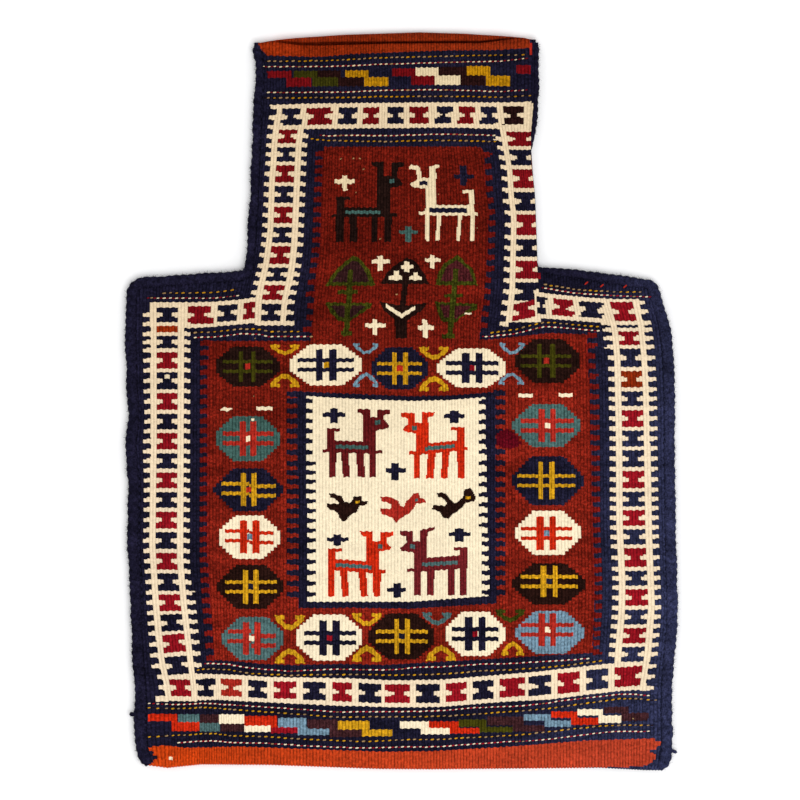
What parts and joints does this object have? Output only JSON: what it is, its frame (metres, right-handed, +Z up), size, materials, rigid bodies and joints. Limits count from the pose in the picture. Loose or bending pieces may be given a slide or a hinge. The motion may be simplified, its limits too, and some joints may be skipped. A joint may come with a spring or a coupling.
{
  "type": "kilim salt bag",
  "caption": "Flat woven wool salt bag with a square pouch, a narrower neck open at the mouth, a folded bottom and overcast bindings along both side edges.",
  "frame": {"origin": "middle of the bounding box, on the surface that the bag lies on", "axes": "+Z up, out of the patterned front; +Y from the bottom fold towards the mouth; +X to the right of the front"},
  "size_m": [0.3994, 0.5375, 0.0192],
  "materials": {
    "kilim_wool": "weft-faced flat weave of hand-spun wool",
    "binding_wool": "overcast dark navy wool"
  },
  "bodies": {
    "root": {"bag_cloth": "kilim_wool", "left_edge_binding": "binding_wool", "right_edge_binding": "binding_wool"}
  },
  "joints": []
}
